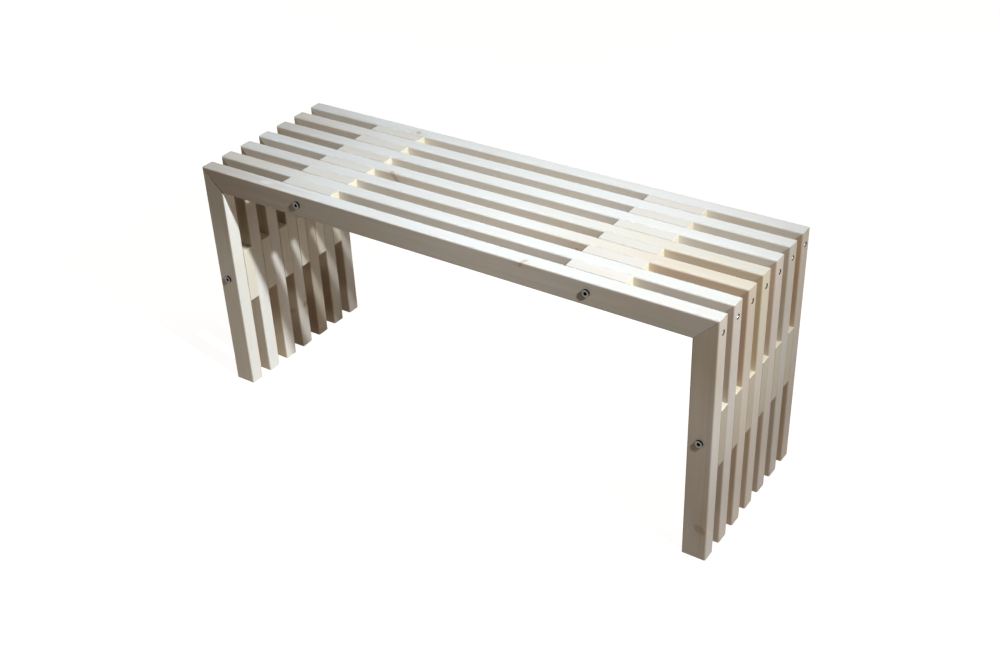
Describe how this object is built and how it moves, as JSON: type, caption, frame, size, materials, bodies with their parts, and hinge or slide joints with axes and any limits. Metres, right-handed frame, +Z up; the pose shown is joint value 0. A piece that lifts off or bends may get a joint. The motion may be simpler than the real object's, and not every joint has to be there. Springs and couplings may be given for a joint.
{
  "type": "slatted outdoor bench",
  "caption": "Backless slatted outdoor bench of pale pine: mitred U-shaped frames set side by side with spacer blocks and clamped by steel tie rods.",
  "frame": {"origin": "on the ground under the middle of the bench", "axes": "+X along the seat, +Y from front to back, +Z up"},
  "size_m": [1, 0.3268, 0.45],
  "materials": {
    "planed_pine": "pale limed, matt",
    "spacer_pine": "planed, sawn ends bare",
    "zinc_plated_steel": "zinc plated"
  },
  "bodies": {
    "root": {"seat_slat_1": "planed_pine", "left_leg_1": "planed_pine", "right_leg_1": "planed_pine", "seat_slat_2": "planed_pine", "left_leg_2": "planed_pine", "right_leg_2": "planed_pine", "seat_slat_3": "planed_pine", "left_leg_3": "planed_pine", "right_leg_3": "planed_pine", "seat_slat_4": "planed_pine", "left_leg_4": "planed_pine", "right_leg_4": "planed_pine", "seat_slat_5": "planed_pine", "left_leg_5": "planed_pine", "right_leg_5": "planed_pine", "seat_slat_6": "planed_pine", "left_leg_6": "planed_pine", "right_leg_6": "planed_pine", "seat_slat_7": "planed_pine", "left_leg_7": "planed_pine", "right_leg_7": "planed_pine", "seat_spacer_left_1": "spacer_pine", "seat_spacer_left_2": "spacer_pine", "seat_spacer_left_3": "spacer_pine", "seat_spacer_left_4": "spacer_pine", "seat_spacer_left_5": "spacer_pine", "seat_spacer_left_6": "spacer_pine", "seat_spacer_right_1": "spacer_pine", "seat_spacer_right_2": "spacer_pine", "seat_spacer_right_3": "spacer_pine", "seat_spacer_right_4": "spacer_pine", "seat_spacer_right_5": "spacer_pine", "seat_spacer_right_6": "spacer_pine", "leg_spacer_left_1": "spacer_pine", "leg_spacer_left_2": "spacer_pine", "leg_spacer_left_3": "spacer_pine", "leg_spacer_left_4": "spacer_pine", "leg_spacer_left_5": "spacer_pine", "leg_spacer_left_6": "spacer_pine", "leg_spacer_right_1": "spacer_pine", "leg_spacer_right_2": "spacer_pine", "leg_spacer_right_3": "spacer_pine", "leg_spacer_right_4": "spacer_pine", "leg_spacer_right_5": "spacer_pine", "leg_spacer_right_6": "spacer_pine", "tie_rod_seat_left": "zinc_plated_steel", "front_nut_seat_left": "zinc_plated_steel", "back_nut_seat_left": "zinc_plated_steel", "tie_rod_seat_right": "zinc_plated_steel", "front_nut_seat_right": "zinc_plated_steel", "back_nut_seat_right": "zinc_plated_steel", "tie_rod_leg_left": "zinc_plated_steel", "front_nut_leg_left": "zinc_plated_steel", "back_nut_leg_left": "zinc_plated_steel", "tie_rod_leg_right": "zinc_plated_steel", "front_nut_leg_right": "zinc_plated_steel", "back_nut_leg_right": "zinc_plated_steel"}
  },
  "joints": []
}
